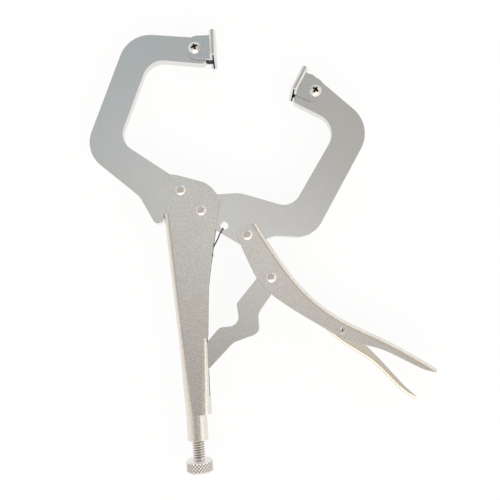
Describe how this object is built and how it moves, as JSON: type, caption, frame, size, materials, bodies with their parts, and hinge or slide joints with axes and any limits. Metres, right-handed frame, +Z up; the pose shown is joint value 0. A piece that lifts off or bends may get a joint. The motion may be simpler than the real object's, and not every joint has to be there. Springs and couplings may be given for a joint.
{
  "type": "locking C-clamp pliers",
  "caption": "Locking C-clamp with swivel pads: a toggle lever closes the movable jaw on the fixed jaw, and a knurled screw in the handle sets the gap.",
  "frame": {"origin": "centre of the bounding box, at the lowest points of the two swivel pads, the jaws open", "axes": "+Z up, square to the flat sides of the jaws; +Y from the adjusting screw towards the jaws; +X from the fixed handle towards the lever"},
  "size_m": [0.2061, 0.2731, 0.026],
  "materials": {
    "plated_channel": "satin nickel plate over coarse-grained pressed sheet",
    "plated_plate": "satin nickel plate, fine grain",
    "pad_plate": "satin nickel plate",
    "rivet_steel": "plated, lightly pressed",
    "fastener": "bright plate",
    "threaded_rod": "bright plate",
    "spring_wire": "dark drawn wire"
  },
  "bodies": {
    "fixed_handle": {"fixed_handle": "plated_channel", "fixed_jaw": "plated_plate", "fixed_jaw_rivet": "rivet_steel", "jaw_pivot_rivet": "rivet_steel", "return_spring": "spring_wire"},
    "movable_jaw": {"movable_jaw": "plated_plate"},
    "lever": {"lever_handle": "plated_channel", "lever_rivet": "rivet_steel", "link_rivet": "rivet_steel", "release_rivet": "rivet_steel"},
    "toggle_link": {"toggle_link": "plated_plate"},
    "release_lever": {"release_lever": "plated_channel"},
    "adjusting_screw": {"adjusting_screw": "threaded_rod"},
    "screw_knob": {"screw_knob": "threaded_rod"},
    "fixed_pad": {"fixed_jaw_pad": "pad_plate", "fixed_pad_screw": "fastener", "fixed_pad_nut": "fastener"},
    "movable_pad": {"movable_jaw_pad": "pad_plate", "movable_pad_screw": "fastener", "movable_pad_nut": "fastener"}
  },
  "joints": [
    {"name": "jaw_pivot", "type": "hinge", "parent": "fixed_handle", "child": "movable_jaw", "pos_m": [-0.03684, 0.02591, 0.013], "axis": [0, 0, 1], "range_deg": [0, 26.47], "deforming": ["return_spring"]},
    {"name": "lever_pivot", "type": "hinge", "parent": "movable_jaw", "child": "lever", "pos_m": [-0.00934, 0.00901, 0.013], "axis": [0, 0, 1], "range_deg": [-76.35, 0]},
    {"name": "link_pivot", "type": "hinge", "parent": "lever", "child": "toggle_link", "pos_m": [0.00376, -0.01799, 0.013], "axis": [0, 0, 1], "range_deg": [0, 68.69]},
    {"name": "release_pivot", "type": "hinge", "parent": "lever", "child": "release_lever", "pos_m": [0.04516, -0.05309, 0.013], "axis": [0, 0, 1], "range_deg": [0, 12]},
    {"name": "fixed_pad_swivel", "type": "hinge", "parent": "fixed_handle", "child": "fixed_pad", "pos_m": [-0.03464, 0.12621, 0.013], "axis": [0, 0, 1], "range_deg": [-12, 12]},
    {"name": "movable_pad_swivel", "type": "hinge", "parent": "movable_jaw", "child": "movable_pad", "pos_m": [0.03816, 0.09511, 0.013], "axis": [0, 0, 1], "range_deg": [-12, 12]},
    {"name": "screw_travel", "type": "slide", "parent": "fixed_handle", "child": "adjusting_screw", "axis": [0, -1, 0], "range_m": [0, 0.0248]},
    {"name": "knob_turn", "type": "hinge", "parent": "adjusting_screw", "child": "screw_knob", "pos_m": [-0.04784, -0.13209, 0.013], "axis": [0, 1, 0], "range_deg": [0, 5761]}
  ],
  "couplings": [
    {"joint": "lever_pivot", "follows": "jaw_pivot", "ratio": -2.8836},
    {"joint": "link_pivot", "follows": "jaw_pivot", "ratio": 2.5944},
    {"joint": "knob_turn", "follows": "screw_travel", "rad_per_m": 4053.7}
  ]
}
